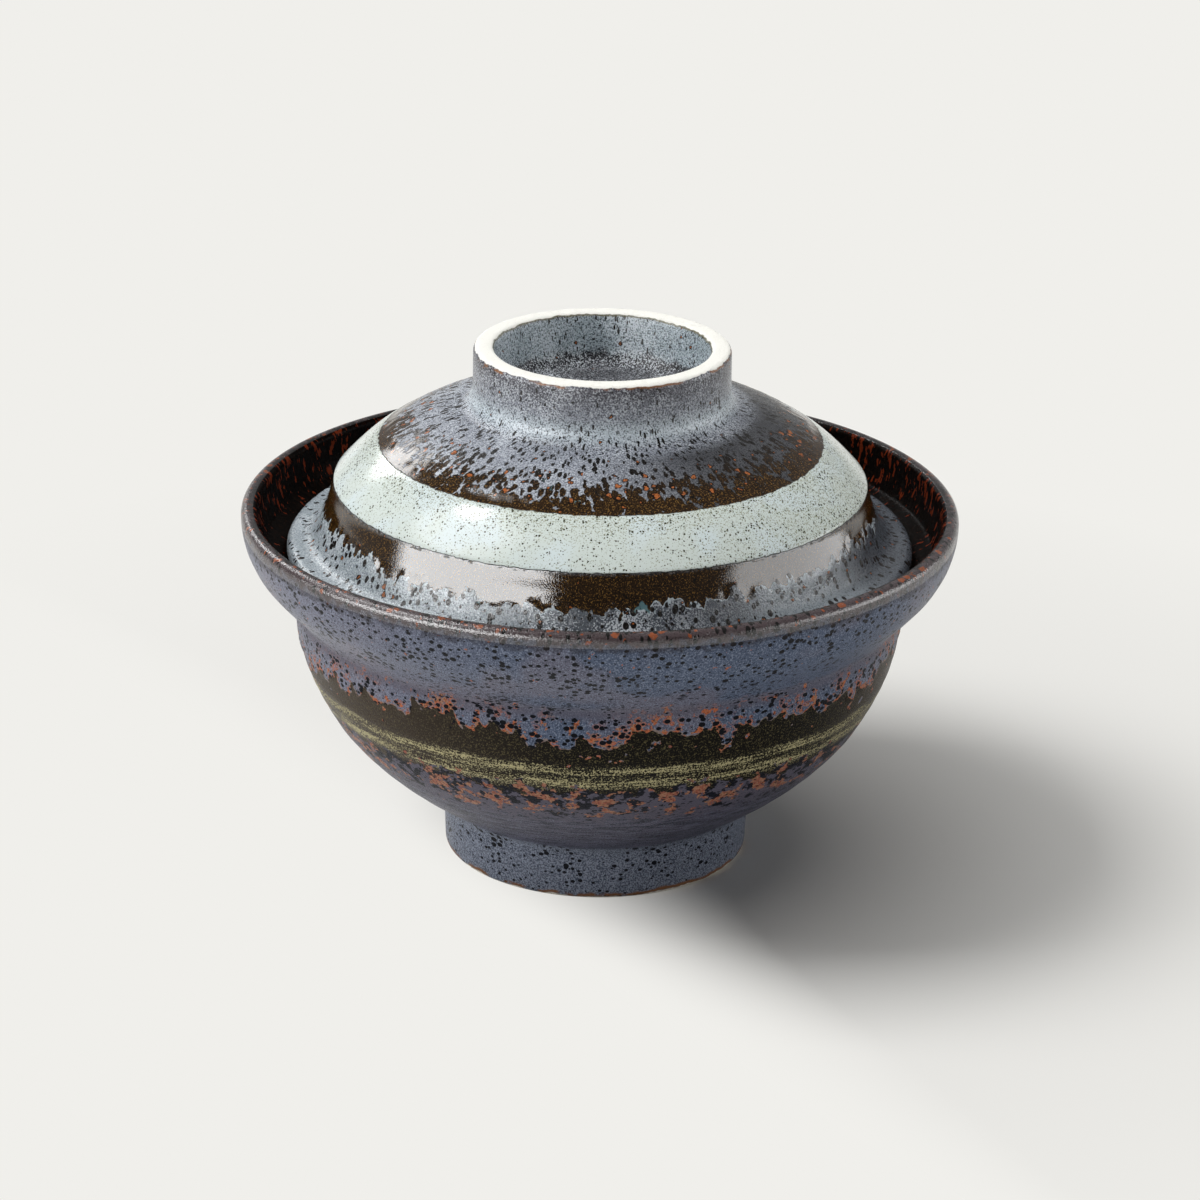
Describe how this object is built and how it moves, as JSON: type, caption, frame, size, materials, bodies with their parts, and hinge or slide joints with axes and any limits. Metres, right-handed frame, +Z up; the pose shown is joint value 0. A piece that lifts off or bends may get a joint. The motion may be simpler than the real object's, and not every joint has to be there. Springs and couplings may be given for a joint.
{
  "type": "donburi bowl with lid",
  "caption": "Glazed stoneware donburi bowl on a foot ring, with a flared collar that holds a domed lid with a ring-shaped knob.",
  "frame": {"origin": "centre of the foot ring's underside, on the surface the bowl stands on", "axes": "+Z up along the axis that the bowl and lid were thrown about; the part looks the same from every side"},
  "size_m": [0.161, 0.161, 0.119],
  "materials": {
    "bowl_glaze": "satin blue-grey glaze with dark specks, brown and green bands and rust patches",
    "lid_glaze": "satin blue-grey glaze with a pale glossy band and brown drips; bare clay on the knob's ring"
  },
  "bodies": {
    "bowl": {"bowl": "bowl_glaze"},
    "lid": {"lid": "lid_glaze"}
  },
  "joints": [
    {"name": "lid_lift", "type": "slide", "parent": "bowl", "child": "lid", "axis": [0, 0, 1], "range_m": [0, 0.1]}
  ]
}
